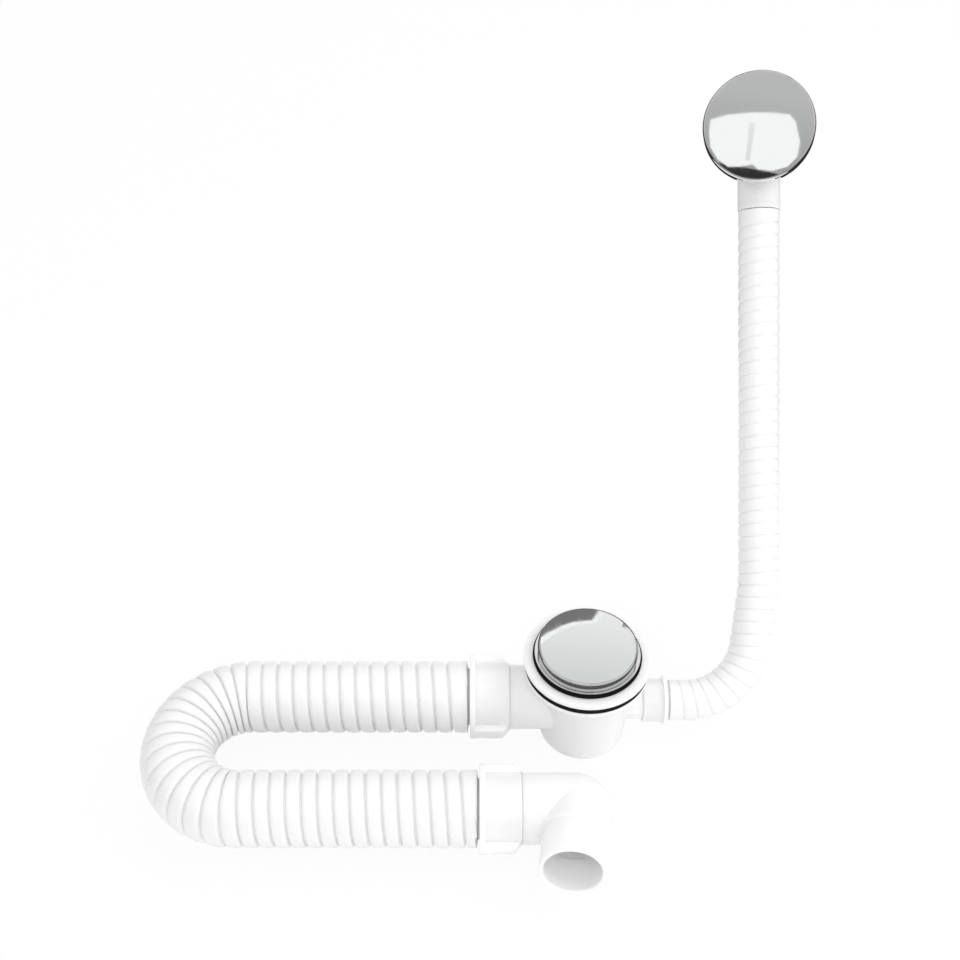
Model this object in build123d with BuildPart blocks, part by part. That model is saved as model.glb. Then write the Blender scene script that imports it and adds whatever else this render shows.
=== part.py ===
from build123d import *
import os
from math import cos, radians, sin

os.makedirs("parts", exist_ok=True)

# Millimetres. The origin is the centre of the waste hole, on the plane where the underside of
# the bath meets the clamp ring. +Z is up, the trap hose leaves towards -X, the overflow hose
# towards +X, and the outlet elbow opens towards -Y.

# Clearances
thread_gap = 0.15
sliding_gap = 0.3
seat_gap = 0.1

# Plug
cap_d = 69.0
cap_side = 7.4
cap_rise = 0.9
cap_wall = 1.0
cap_corner = 1.8
carrier_t = 1.8
carrier_rib_w = 1.6
carrier_rib_h = 1.4
carrier_ribs = 8
carrier_boss_d = 14.0
carrier_boss_drop = 4.6
plug_seal_inset = 2.5
plug_seal_bore = 44.0
plug_seal_lip = 1.6
plug_travel = 8.0

# Push-push cartridge
stem_d = 8.0
stem_grip = 8.0
piston_d = 11.8
piston_t = 3.8
spigot_d = 5.2
spigot_l = 8.0
index_ring_t = 2.6
index_tooth_h = 1.2
index_teeth = 6
spring_wire = 0.9
spring_d = 8.4
spring_turns = 4.5
sleeve_d = 16.0
sleeve_bore = 12.4
sleeve_head_d = 20.0
sleeve_head_t = 4.5
sleeve_top = 3.6
sleeve_collar_t = 3.4
sleeve_l = 33.0
sleeve_plug_t = 2.6
drain_hole_d = 3.0

# Waste flange, seals and clamp ring
flange_margin = 2.0
flange_t = 1.0
flange_lip = 0.6
flange_lip_w = 1.2
neck_d = 48.0
neck_wall = 2.2
neck_l = 24.0
mouth_round = 1.6
spider_boss_d = 23.0
spider_boss_t = 6.0
spoke_w = 3.0
spokes = 4
flange_seal_show = 1.2
flange_seal_t = 2.0
flange_seal_edge = 0.3
clamp_ring_d = 88.4
clamp_ring_t = 4.0
clamp_ring_edge = 0.8
body_seal_d = 86.6
body_seal_t = 5.2
body_seal_edge = 0.4

# Waste body
body_lip_d = 86.0
body_lip_t = 5.0
body_lip_edge = 1.2
cup_top_d = 67.0
cup_bottom_d = 61.0
cup_depth = 82.0
cup_wall = 2.6
cup_round = 5.0
collar_wall = 3.0
collar_l = 12.0
outlet_drop = 46.5
outlet_reach = 81.4
pipe_d = 45.6
pipe_wall = 2.7
inlet_drop = 50.3
inlet_reach = 58.8
inlet_boss_d = 25.6
inlet_bore = 19.6

# Union nuts of the trap hose
nut_l = 28.0
nut_d = 48.8
nut_rim_d = 58.8
nut_rim_w = 4.0
nut_edge = 1.0
nut_lug_d = 58.4
nut_lug_arc = 48.0
nut_lug_turn = 115.0
nut_lug_round = 1.6
nut_lip_t = 3.0
spigot_thread_d = 43.0
hose_flange_t = 3.0
washer_t = 4.4
washer_taper = 1.2

# Trap hose
trap_run = 236.6
bend_r = 46.2
crest_d = 50.6
shoulder_d = 49.8
groove_d = 46.2
hose_wall = 1.0
hose_neck_d = 39.6
neck_show = 3.7
upper_rings = 14
bend_rings = 16
lower_rings = 15

# Outlet elbow
elbow_nut_reach = 74.6
elbow_corner_reach = 10.0
elbow_l = 53.0
elbow_d = 46.8
elbow_wall = 2.8
elbow_tilt = 9.0
elbow_turn = 6.3
tail_d = 43.2
tail_l = 26.6
mouth_chamfer = 1.2
lead_in = 0.6

# Overflow hose
overflow_lean = 43.0
overflow_height = 403.3
riser_offset = 126.0
low_bend_r = 46.5
low_bend_turn = 82.0
leaning_run = 34.4
easy_bend_r = 150.0
overflow_crest_d = 28.9
overflow_shoulder_d = 28.5
overflow_groove_d = 27.0
overflow_wall = 0.9
overflow_pitch = 8.85
inlet_nut_l = 17.0
inlet_nut_d = 30.8
inlet_rim_d = 36.0
inlet_rim_w = 2.6
inlet_nut_wall = 1.9
inlet_nut_edge = 0.6
inlet_neck_d = 22.0
inlet_flange_t = 2.0
inlet_washer_t = 2.4
inlet_neck_show = 1.4

# Overflow head and cover
head_turn = 12.0
socket_d = 30.0
socket_end = 52.0
socket_wall = 1.4
socket_edge = 0.5
cuff_d = 24.8
cuff_l = 16.0
cuff_wall = 1.5
head_seal_depth = 3.0
head_seal_wire = 2.0
barrel_top = 14.0
horn_d = 34.0
horn_wall = 2.4
head_flange_d = 62.0
head_flange_t = 3.0
head_flange_z = 21.0
gasket_d = 60.0
gasket_t = 3.0
insert_d = 64.0
insert_t = 2.4
insert_wall_h = 4.0
insert_boss_d = 12.0
insert_windows = 8
window_w = 8.0
screw_d = 5.0
screw_head_d = 9.0
screw_head_t = 3.0
screw_l = 22.0
slot_w = 1.4
plate_d = 77.0
plate_depth = 9.0
plate_wall = 1.0
plate_rise = 2.0
plate_roll = 1.6
plate_notch_w = 30.0
plate_notch_h = 5.0


def half_plane(plane):
    """Plane through the axis of a turned piece: x is the radius, y runs along the axis."""
    return Plane(origin=plane.origin, x_dir=plane.x_dir, z_dir=-plane.y_dir)


def turning_axis(plane):
    """Axis of a turned piece that stands on a plane."""
    return Axis(plane.origin, plane.z_dir)


def ring_area(outer_d, bore_d, plane):
    """Flat ring on a plane."""
    with BuildSketch(plane) as ring:
        Circle(outer_d / 2)
        Circle(bore_d / 2, mode=Mode.SUBTRACT)
    return ring.sketch


# The flange is a little wider than the cap, and its seal a little wider than the flange
flange_d = cap_d + 2 * flange_margin
flange_seal_d = flange_d + 2 * flange_seal_show

# Heights of the plug stack, all from the seat of the bath
flange_floor = flange_seal_t + flange_t
cap_bottom = flange_floor + sliding_gap
cap_edge = cap_bottom + cap_side
cap_ceiling = cap_edge - cap_wall
carrier_bottom = cap_ceiling - carrier_t - carrier_rib_h
boss_bottom = carrier_bottom - carrier_boss_drop - plug_seal_lip
collar_bottom = -sleeve_top - sleeve_collar_t
piston_top = collar_bottom - plug_travel - seat_gap
piston_bottom = piston_top - piston_t
sleeve_bottom = -sleeve_top - sleeve_l
spring_floor = sleeve_bottom + sleeve_plug_t
index_bottom = piston_bottom - sliding_gap - index_tooth_h - index_ring_t

# The plug

with BuildPart() as plug_cap:
    with BuildSketch(Plane.XZ) as cap_half:
        with BuildLine():
            TangentArc((0, cap_edge + cap_rise), (cap_d / 2, cap_edge), tangent=(1, 0))
            Polyline(
                (cap_d / 2, cap_edge),
                (cap_d / 2, cap_bottom),
                (cap_d / 2 - cap_wall, cap_bottom),
                (cap_d / 2 - cap_wall, cap_ceiling),
                (0, cap_ceiling),
                (0, cap_edge + cap_rise),
            )
        make_face()
        fillet(cap_half.vertices().sort_by_distance((cap_d / 2, cap_edge))[0], cap_corner)
    revolve(axis=Axis.Z)
plug_cap.part.label = "plug_cap"
export_step(plug_cap.part, "parts/plug_cap.step")

carrier_d = cap_d - 2 * (cap_wall + thread_gap)
with BuildPart() as plug_carrier:
    with BuildSketch(Plane.XY.offset(carrier_bottom)):
        Circle(carrier_d / 2)
    extrude(amount=carrier_t)
    with BuildSketch(Plane.XY.offset(carrier_bottom + carrier_t)):
        Circle(carrier_d / 2)
        Circle(carrier_d / 2 - carrier_rib_w, mode=Mode.SUBTRACT)
        Circle(carrier_boss_d / 2)
        with PolarLocations(carrier_d / 4, carrier_ribs):
            Rectangle(carrier_d / 2 - carrier_rib_w, carrier_rib_w)
    extrude(amount=carrier_rib_h)
    with BuildSketch(Plane.XY.offset(boss_bottom)):
        Circle(carrier_boss_d / 2)
    extrude(amount=carrier_bottom - boss_bottom)
    with BuildSketch(Plane.XY.offset(boss_bottom)):
        Circle(stem_d / 2 + thread_gap)
    extrude(amount=stem_grip, mode=Mode.SUBTRACT)
plug_carrier.part.label = "plug_carrier"
export_step(plug_carrier.part, "parts/plug_carrier.step")

seal_foot = flange_floor + seat_gap
plug_seal_d = cap_d - 2 * plug_seal_inset
with BuildPart() as plug_seal:
    with BuildSketch(Plane.XZ):
        with BuildLine():
            Polyline(
                (plug_seal_bore / 2 + plug_seal_lip, carrier_bottom),
                (plug_seal_d / 2, carrier_bottom),
                (plug_seal_d / 2, seal_foot + plug_seal_lip),
                (plug_seal_d / 2 - plug_seal_lip, seal_foot),
                (plug_seal_d / 2 - 2 * plug_seal_lip, seal_foot),
                (plug_seal_d / 2 - 3 * plug_seal_lip, seal_foot + plug_seal_lip),
                (plug_seal_bore / 2 + plug_seal_lip, seal_foot + plug_seal_lip),
                close=True,
            )
        make_face()
    revolve(axis=Axis.Z)
plug_seal.part.label = "plug_seal"
export_step(plug_seal.part, "parts/plug_seal.step")

# The push-push cartridge

with BuildPart() as plunger:
    with BuildSketch(Plane.XY.offset(piston_top)):
        Circle(stem_d / 2)
    extrude(amount=boss_bottom + stem_grip - sliding_gap - piston_top)
    with BuildSketch(Plane.XY.offset(piston_bottom)):
        Circle(piston_d / 2)
    extrude(amount=piston_t)
    with BuildSketch(Plane.XY.offset(piston_bottom - spigot_l)):
        Circle(spigot_d / 2)
    extrude(amount=spigot_l)
    chamfer(plunger.faces().sort_by(Axis.Z)[0].edges(), spigot_d / 8)
plunger.part.label = "plunger"
export_step(plunger.part, "parts/plunger.step")

tooth_r = (piston_d + spigot_d) / 4
with BuildPart() as index_ring:
    extrude(
        ring_area(
            piston_d - sliding_gap, spigot_d + 2 * sliding_gap, Plane.XY.offset(index_bottom)
        ),
        amount=index_ring_t,
    )
    with BuildSketch(Plane.XY.offset(index_bottom + index_ring_t)):
        with PolarLocations(tooth_r, index_teeth):
            Rectangle(spigot_d / 4, spigot_d / 3)
    extrude(amount=index_tooth_h, taper=15)
index_ring.part.label = "index_ring"
export_step(index_ring.part, "parts/index_ring.step")

spring_top = index_bottom - seat_gap - spring_wire / 2
spring_base = spring_floor + seat_gap + spring_wire / 2
with BuildPart() as click_spring:
    with BuildLine():
        coil = Helix(
            pitch=(spring_top - spring_base) / spring_turns,
            height=spring_top - spring_base,
            radius=spring_d / 2,
            center=(0, 0, spring_base),
        )
    with BuildSketch(Plane(origin=coil @ 0, z_dir=coil % 0)):
        Circle(spring_wire / 2)
    sweep(is_frenet=True)
click_spring.part.label = "click_spring"
export_step(click_spring.part, "parts/click_spring.step")

with BuildPart() as click_sleeve:
    with BuildSketch(Plane.XY.offset(sleeve_bottom)):
        Circle(sleeve_d / 2)
    extrude(amount=sleeve_l)
    with BuildSketch(Plane.XY.offset(-sleeve_top - sleeve_head_t)):
        RegularPolygon(sleeve_head_d / 2, 6)
    extrude(amount=sleeve_head_t)
    with BuildSketch(Plane.XY.offset(sleeve_bottom)):
        Circle(sleeve_bore / 2)
    extrude(amount=collar_bottom - sleeve_bottom, mode=Mode.SUBTRACT)
    with BuildSketch(Plane.XY.offset(collar_bottom)):
        Circle(stem_d / 2 + sliding_gap)
    extrude(amount=sleeve_collar_t, mode=Mode.SUBTRACT)
click_sleeve.part.label = "click_sleeve"
export_step(click_sleeve.part, "parts/click_sleeve.step")

with BuildPart() as sleeve_plug:
    extrude(
        ring_area(sleeve_bore - 2 * thread_gap, drain_hole_d, Plane.XY.offset(sleeve_bottom)),
        amount=sleeve_plug_t,
    )
sleeve_plug.part.label = "sleeve_plug"
export_step(sleeve_plug.part, "parts/sleeve_plug.step")

# The waste flange: a pressed rim, a threaded neck and the spider that holds the cartridge

flange_r = flange_d / 2
neck_r = neck_d / 2
boss_top = -sleeve_top - sleeve_head_t
with BuildPart() as waste_flange:
    with BuildSketch(Plane.XZ):
        with BuildLine():
            FilletPolyline(
                (neck_r - neck_wall, -neck_l),
                (neck_r - neck_wall, flange_floor),
                (flange_r - flange_lip_w, flange_floor),
                radius=mouth_round,
            )
            Polyline(
                (flange_r - flange_lip_w, flange_floor),
                (flange_r - flange_lip_w, flange_floor + flange_lip),
                (flange_r, flange_floor + flange_lip),
                (flange_r, flange_seal_t),
                (neck_r, flange_seal_t),
                (neck_r, -neck_l),
                (neck_r - neck_wall, -neck_l),
            )
        make_face()
    revolve(axis=Axis.Z)
    with BuildSketch(Plane.XY.offset(boss_top - spider_boss_t)):
        Circle(spider_boss_d / 2)
        with PolarLocations(neck_r / 2, spokes):
            Rectangle(neck_r - neck_wall / 2, spoke_w)
        Circle(sleeve_d / 2 + thread_gap, mode=Mode.SUBTRACT)
    extrude(amount=spider_boss_t)
waste_flange.part.label = "waste_flange"
export_step(waste_flange.part, "parts/waste_flange.step")

# Seals and clamp ring between the flange and the body

bath_hole_d = neck_d + 2 * thread_gap

with BuildPart() as flange_seal:
    extrude(ring_area(flange_seal_d, bath_hole_d, Plane.XY), amount=flange_seal_t)
    chamfer(
        flange_seal.edges().filter_by(GeomType.CIRCLE).group_by(SortBy.RADIUS)[-1],
        flange_seal_edge,
    )
flange_seal.part.label = "flange_seal"
export_step(flange_seal.part, "parts/flange_seal.step")

with BuildPart() as clamp_ring:
    extrude(ring_area(clamp_ring_d, bath_hole_d, Plane.XY), amount=-clamp_ring_t)
    fillet(
        clamp_ring.edges().filter_by(GeomType.CIRCLE).group_by(SortBy.RADIUS)[-1],
        clamp_ring_edge,
    )
clamp_ring.part.label = "clamp_ring"
export_step(clamp_ring.part, "parts/clamp_ring.step")

with BuildPart() as body_seal:
    extrude(
        ring_area(body_seal_d, bath_hole_d, Plane.XY.offset(-clamp_ring_t)),
        amount=-body_seal_t,
    )
    fillet(
        body_seal.edges().filter_by(GeomType.CIRCLE).group_by(SortBy.RADIUS)[-1],
        body_seal_edge,
    )
body_seal.part.label = "body_seal"
export_step(body_seal.part, "parts/body_seal.step")

# The waste body: a cup with a threaded collar, an outlet branch and an overflow branch

lip_top = -clamp_ring_t - body_seal_t
lip_bottom = lip_top - body_lip_t
cup_bottom = -cup_depth
collar_r = neck_r + thread_gap
outlet_plane = Plane(origin=(0, 0, -outlet_drop), x_dir=(0, 1, 0), z_dir=(-1, 0, 0))
inlet_plane = Plane(origin=(0, 0, -inlet_drop), x_dir=(0, 1, 0), z_dir=(1, 0, 0))
spigot_end = outlet_reach - nut_lip_t - hose_flange_t - washer_t
branch_end = outlet_reach - nut_l - seat_gap
inlet_spigot_end = inlet_reach - inlet_rim_w - inlet_flange_t - inlet_washer_t
inlet_branch_end = inlet_reach - inlet_nut_l - seat_gap
inlet_thread_d = inlet_nut_d - 2 * inlet_nut_wall - 2 * thread_gap

with BuildPart() as waste_body:
    with BuildSketch(Plane.XZ):
        with BuildLine():
            FilletPolyline(
                (0, cup_bottom),
                (cup_bottom_d / 2, cup_bottom),
                (cup_top_d / 2, lip_bottom),
                radius=cup_round,
            )
            Polyline(
                (cup_top_d / 2, lip_bottom),
                (body_lip_d / 2, lip_bottom),
                (body_lip_d / 2, lip_top),
                (0, lip_top),
                (0, cup_bottom),
            )
        make_face()
    revolve(axis=Axis.Z)
    fillet(
        waste_body.edges().filter_by(GeomType.CIRCLE).group_by(SortBy.RADIUS)[-1],
        body_lip_edge,
    )
    with BuildSketch(outlet_plane):
        Circle(pipe_d / 2)
    extrude(amount=branch_end)
    with BuildSketch(outlet_plane):
        Circle(spigot_thread_d / 2)
    extrude(amount=spigot_end)
    with BuildSketch(inlet_plane):
        Circle(inlet_boss_d / 2)
    extrude(amount=inlet_branch_end)
    with BuildSketch(inlet_plane):
        Circle(inlet_thread_d / 2)
    extrude(amount=inlet_spigot_end)
    with BuildSketch(Plane.XZ):
        with BuildLine():
            FilletPolyline(
                (0, cup_bottom + cup_wall),
                (cup_bottom_d / 2 - cup_wall, cup_bottom + cup_wall),
                (cup_top_d / 2 - cup_wall, lip_bottom - cup_wall),
                radius=cup_round - cup_wall,
            )
            Polyline(
                (cup_top_d / 2 - cup_wall, lip_bottom - cup_wall),
                (collar_r + collar_wall, lip_bottom - cup_wall),
                (collar_r + collar_wall, lip_bottom - collar_l),
                (collar_r, lip_bottom - collar_l),
                (collar_r, lip_top),
                (0, lip_top),
                (0, cup_bottom + cup_wall),
            )
        make_face()
    revolve(axis=Axis.Z, mode=Mode.SUBTRACT)
    with BuildSketch(outlet_plane):
        Circle(pipe_d / 2 - pipe_wall)
    extrude(amount=spigot_end, mode=Mode.SUBTRACT)
    with BuildSketch(inlet_plane):
        Circle(inlet_bore / 2)
    extrude(amount=inlet_spigot_end, mode=Mode.SUBTRACT)
waste_body.part.label = "waste_body"
export_step(waste_body.part, "parts/waste_body.step")


# Union nuts and their cone washers


def union_nut(plane):
    """Nut of the trap hose with two broad lugs. It screws on along the plane's z."""
    axis = turning_axis(plane)
    lug_side = Plane(plane.location * Rot(Z=nut_lug_turn - nut_lug_arc / 2))
    with BuildPart() as lug:
        with BuildSketch(half_plane(lug_side)):
            with BuildLine():
                Polyline(
                    (nut_d / 4, nut_rim_w / 2),
                    (nut_lug_d / 2, nut_rim_w / 2),
                    (nut_lug_d / 2, nut_l - (nut_lug_d - nut_d) / 2),
                    (nut_d / 2, nut_l - nut_edge),
                    (nut_d / 4, nut_l - nut_edge),
                    close=True,
                )
            make_face()
        revolve(axis=axis, revolution_arc=nut_lug_arc)
        fillet(lug.edges().filter_by(axis).sort_by_distance(plane.origin)[-2:], nut_lug_round)
    with BuildPart() as nut:
        with BuildSketch(plane):
            Circle(nut_d / 2)
        extrude(amount=nut_l)
        fillet(nut.faces().sort_by(axis)[-1].edges(), nut_edge)
        with BuildSketch(plane):
            Circle(nut_rim_d / 2)
        extrude(amount=nut_rim_w)
        fillet(
            nut.edges().filter_by(GeomType.CIRCLE).group_by(SortBy.RADIUS)[-1],
            nut_rim_w / 4,
        )
        add(lug.part)
        add(lug.part.rotate(axis, 180))
        with BuildSketch(plane):
            Circle(hose_neck_d / 2 + sliding_gap)
        extrude(amount=nut_l, mode=Mode.SUBTRACT)
        with BuildSketch(plane.offset(nut_lip_t)):
            Circle(spigot_thread_d / 2 + thread_gap)
        extrude(amount=nut_l, mode=Mode.SUBTRACT)
    return nut


def cone_washer(plane):
    """Rubber washer between the flange of the hose and the end of a spigot."""
    with BuildPart() as washer:
        with BuildSketch(half_plane(plane)):
            with BuildLine():
                Polyline(
                    (hose_neck_d / 2 - hose_wall, 0),
                    (spigot_thread_d / 2, 0),
                    (spigot_thread_d / 2, washer_t / 2),
                    (spigot_thread_d / 2 - washer_taper, washer_t),
                    (hose_neck_d / 2 - hose_wall, washer_t),
                    close=True,
                )
            make_face()
        revolve(axis=turning_axis(plane))
    return washer


outlet_nut_plane = Plane(origin=(-outlet_reach, 0, -outlet_drop), x_dir=(0, 0, 1), z_dir=(1, 0, 0))
elbow_nut_plane = Plane(
    origin=(-elbow_nut_reach, -2 * bend_r, -outlet_drop), x_dir=(0, 0, 1), z_dir=(1, 0, 0)
)

outlet_nut = union_nut(outlet_nut_plane)
outlet_nut.part.label = "outlet_nut"
export_step(outlet_nut.part, "parts/outlet_nut.step")

outlet_seal = cone_washer(outlet_nut_plane.offset(nut_lip_t + hose_flange_t))
outlet_seal.part.label = "outlet_seal"
export_step(outlet_seal.part, "parts/outlet_seal.step")

elbow_nut = union_nut(elbow_nut_plane)
elbow_nut.part.label = "elbow_nut"
export_step(elbow_nut.part, "parts/elbow_nut.step")

elbow_seal = cone_washer(elbow_nut_plane.offset(nut_lip_t + hose_flange_t))
elbow_seal.part.label = "elbow_seal"
export_step(elbow_seal.part, "parts/elbow_seal.step")


# Corrugated hoses: circles across the path, joined by a ruled loft


def length_at(turn, counts, lengths):
    """Length along a path at which a number of convolutions is reached."""
    reached = 0
    for count, length in zip(counts, lengths):
        if turn <= count:
            return reached + length * turn / count
        turn -= count
        reached += length
    return reached


def hose_sections(path, counts, lengths, profile, across):
    """Circles of one convolution profile, repeated along a hose. across is square to the bend."""
    rings = []
    stations = [(0, profile[0][1])]
    stations += [(turn + share, ring_d) for turn in range(sum(counts)) for share, ring_d in profile]
    stations.append((sum(counts), profile[-1][1]))
    for turn, ring_d in stations:
        reached = length_at(turn, counts, lengths)
        ring_plane = Plane(
            origin=path.position_at(reached, position_mode=PositionMode.LENGTH),
            x_dir=across,
            z_dir=path.tangent_at(reached, position_mode=PositionMode.LENGTH),
        )
        with BuildSketch(ring_plane) as ring:
            Circle(ring_d / 2)
        rings.append(ring.sketch)
    return rings


# Shares of one convolution at which the narrow groove ends and the broad crest begins
groove_share = 0.06
shoulder_share = 0.14


def convolution(groove, shoulder, crest):
    """One convolution from groove to groove, as shares of the pitch and diameters."""
    return (
        (groove_share, groove),
        (shoulder_share, shoulder),
        (1 / 2, crest),
        (1 - shoulder_share, shoulder),
        (1 - groove_share, groove),
    )


trap_outside = convolution(groove_d, shoulder_d, crest_d)
trap_inside = [(share, ring_d - 2 * hose_wall) for share, ring_d in trap_outside]
run_start = outlet_reach + neck_show
run_end = elbow_nut_reach + neck_show

with BuildLine() as trap_path:
    upper_run = Line((-run_start, 0, -outlet_drop), (-trap_run, 0, -outlet_drop))
    trap_bend = ThreePointArc(
        (-trap_run, 0, -outlet_drop),
        (-trap_run - bend_r, -bend_r, -outlet_drop),
        (-trap_run, -2 * bend_r, -outlet_drop),
    )
    lower_run = Line((-trap_run, -2 * bend_r, -outlet_drop), (-run_end, -2 * bend_r, -outlet_drop))
trap_wire = trap_path.wire()
trap_counts = (upper_rings, bend_rings, lower_rings)
trap_lengths = (upper_run.length, trap_bend.length, lower_run.length)

with BuildPart() as trap_hose:
    loft(
        hose_sections(trap_wire, trap_counts, trap_lengths, trap_outside, (0, 0, 1)),
        ruled=True,
        clean=False,
    )
    loft(
        hose_sections(trap_wire, trap_counts, trap_lengths, trap_inside, (0, 0, 1)),
        ruled=True,
        clean=False,
        mode=Mode.SUBTRACT,
    )
    for nut_plane in (outlet_nut_plane, elbow_nut_plane):
        shoulder = nut_plane.offset(-neck_show - hose_wall)
        flange_back = nut_plane.offset(nut_lip_t)
        neck_end = nut_plane.offset(nut_lip_t + hose_flange_t)
        with BuildSketch(shoulder):
            Circle(groove_d / 2)
        extrude(amount=hose_wall)
        with BuildSketch(neck_end):
            Circle(hose_neck_d / 2)
        extrude(amount=-neck_show - nut_lip_t - hose_flange_t)
        with BuildSketch(flange_back):
            Circle(spigot_thread_d / 2 - thread_gap)
        extrude(amount=hose_flange_t)
        with BuildSketch(neck_end):
            Circle(hose_neck_d / 2 - hose_wall)
        extrude(
            amount=-neck_show - nut_lip_t - hose_flange_t - hose_wall, mode=Mode.SUBTRACT
        )
trap_hose.part.label = "trap_hose"
export_step(trap_hose.part, "parts/trap_hose.step")

# The outlet elbow: an arm and a tail that meet in a mitre inside and a round corner outside

corner = Vector(-elbow_corner_reach, -2 * bend_r, -outlet_drop)
arm_plane = elbow_nut_plane.offset(nut_l + seat_gap)
spigot_plane = elbow_nut_plane.offset(nut_lip_t + hose_flange_t + washer_t)
tail_dir = Vector(0, -cos(radians(elbow_tilt)), sin(radians(elbow_tilt))).rotate(Axis.Z, -elbow_turn)
tail_plane = Plane(origin=corner, x_dir=Vector(0, 0, 1).cross(tail_dir), z_dir=tail_dir)
arm_l = elbow_nut_reach - nut_l - seat_gap - elbow_corner_reach
arm_spigot_l = elbow_nut_reach - nut_lip_t - hose_flange_t - washer_t - elbow_corner_reach
tail_step = (elbow_d - tail_d) / 2
tail_start = elbow_l - tail_l


def tail_half(wall):
    """Half outline of the tail, drawn in by a wall: the elbow's own width, then its spigot's."""
    with BuildSketch(half_plane(tail_plane)) as outline:
        with BuildLine():
            Polyline(
                (0, 0),
                (elbow_d / 2 - wall, 0),
                (elbow_d / 2 - wall, tail_start - tail_step),
                (tail_d / 2 - wall, tail_start),
                (tail_d / 2 - wall, elbow_l),
                (0, elbow_l),
                close=True,
            )
        make_face()
    return outline.sketch


with BuildPart() as outlet_elbow:
    with BuildSketch(arm_plane):
        Circle(elbow_d / 2)
    extrude(amount=arm_l)
    with BuildSketch(spigot_plane):
        Circle(spigot_thread_d / 2)
    extrude(amount=arm_spigot_l)
    with Locations(corner):
        Sphere(elbow_d / 2)
    revolve(tail_half(0), axis=turning_axis(tail_plane))
    with BuildSketch(spigot_plane):
        Circle(pipe_d / 2 - pipe_wall)
    extrude(amount=arm_spigot_l, mode=Mode.SUBTRACT)
    with Locations(corner):
        Sphere(elbow_d / 2 - elbow_wall, mode=Mode.SUBTRACT)
    revolve(tail_half(elbow_wall), axis=turning_axis(tail_plane), mode=Mode.SUBTRACT)
    mouth = outlet_elbow.faces().sort_by(Axis(corner, tail_dir))[-1]
    chamfer(mouth.inner_wires()[0].edges(), mouth_chamfer)
    mouth = outlet_elbow.faces().sort_by(Axis(corner, tail_dir))[-1]
    chamfer(mouth.outer_wire().edges(), lead_in)
outlet_elbow.part.label = "outlet_elbow"
export_step(outlet_elbow.part, "parts/outlet_elbow.step")

# The overflow stands in a leaning plane: x to the right, y up the hose, z towards the bath

rise_dir = (0, sin(radians(overflow_lean)), cos(radians(overflow_lean)))
face_dir = (0, -cos(radians(overflow_lean)), sin(radians(overflow_lean)))
overflow_plane = Plane(origin=(0, 0, -inlet_drop), x_dir=(1, 0, 0), z_dir=face_dir)
head_origin = overflow_plane.from_local_coords((riser_offset, overflow_height, 0))
head_axis = Vector(face_dir).rotate(Axis((0, 0, 0), rise_dir), -head_turn)
head_plane = Plane(origin=head_origin, x_dir=Vector(rise_dir).cross(head_axis), z_dir=head_axis)
socket_mouth = Plane(
    origin=head_origin - Vector(rise_dir) * socket_end, x_dir=head_axis, z_dir=rise_dir
)

inlet_nut_plane = Plane(origin=(inlet_reach, 0, -inlet_drop), x_dir=(0, 0, 1), z_dir=(-1, 0, 0))

with BuildPart() as inlet_nut:
    with BuildSketch(inlet_nut_plane):
        Circle(inlet_nut_d / 2)
    extrude(amount=inlet_nut_l)
    with BuildSketch(inlet_nut_plane):
        Circle(inlet_rim_d / 2)
    extrude(amount=inlet_rim_w)
    fillet(inlet_nut.edges().filter_by(GeomType.CIRCLE), inlet_nut_edge)
    with BuildSketch(inlet_nut_plane):
        Circle(inlet_neck_d / 2 + thread_gap)
    extrude(amount=inlet_nut_l, mode=Mode.SUBTRACT)
    with BuildSketch(inlet_nut_plane.offset(inlet_rim_w)):
        Circle(inlet_thread_d / 2 + thread_gap)
    extrude(amount=inlet_nut_l, mode=Mode.SUBTRACT)
inlet_nut.part.label = "inlet_nut"
export_step(inlet_nut.part, "parts/inlet_nut.step")

with BuildPart() as inlet_seal:
    extrude(
        ring_area(
            inlet_thread_d, inlet_bore, inlet_nut_plane.offset(inlet_rim_w + inlet_flange_t)
        ),
        amount=inlet_washer_t,
    )
inlet_seal.part.label = "inlet_seal"
export_step(inlet_seal.part, "parts/inlet_seal.step")

# The overflow hose runs out of its nut, round a tight bend, leans, turns easily and goes up

easy_turn = 90 - low_bend_turn
low_x = low_bend_r * sin(radians(low_bend_turn))
leaning_x = leaning_run * cos(radians(low_bend_turn))
easy_x = easy_bend_r * (1 - sin(radians(low_bend_turn)))
hose_start = inlet_reach + inlet_neck_show
bend_start = riser_offset - low_x - leaning_x - easy_x
hose_top = overflow_height - socket_end

with BuildLine(overflow_plane) as overflow_path:
    level_run = Line((hose_start, 0), (bend_start, 0))
    low_bend = JernArc(
        start=level_run @ 1, tangent=level_run % 1, radius=low_bend_r, arc_size=low_bend_turn
    )
    leaning = Line(low_bend @ 1, low_bend @ 1 + (low_bend % 1) * leaning_run)
    easy_bend = JernArc(
        start=leaning @ 1, tangent=leaning % 1, radius=easy_bend_r, arc_size=easy_turn
    )
    riser = Line(easy_bend @ 1, (riser_offset, hose_top))
overflow_wire = overflow_path.wire()
overflow_counts = [round(overflow_wire.length / overflow_pitch)]

overflow_outside = convolution(overflow_groove_d, overflow_shoulder_d, overflow_crest_d)
overflow_inside = [(share, ring_d - 2 * overflow_wall) for share, ring_d in overflow_outside]

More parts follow.
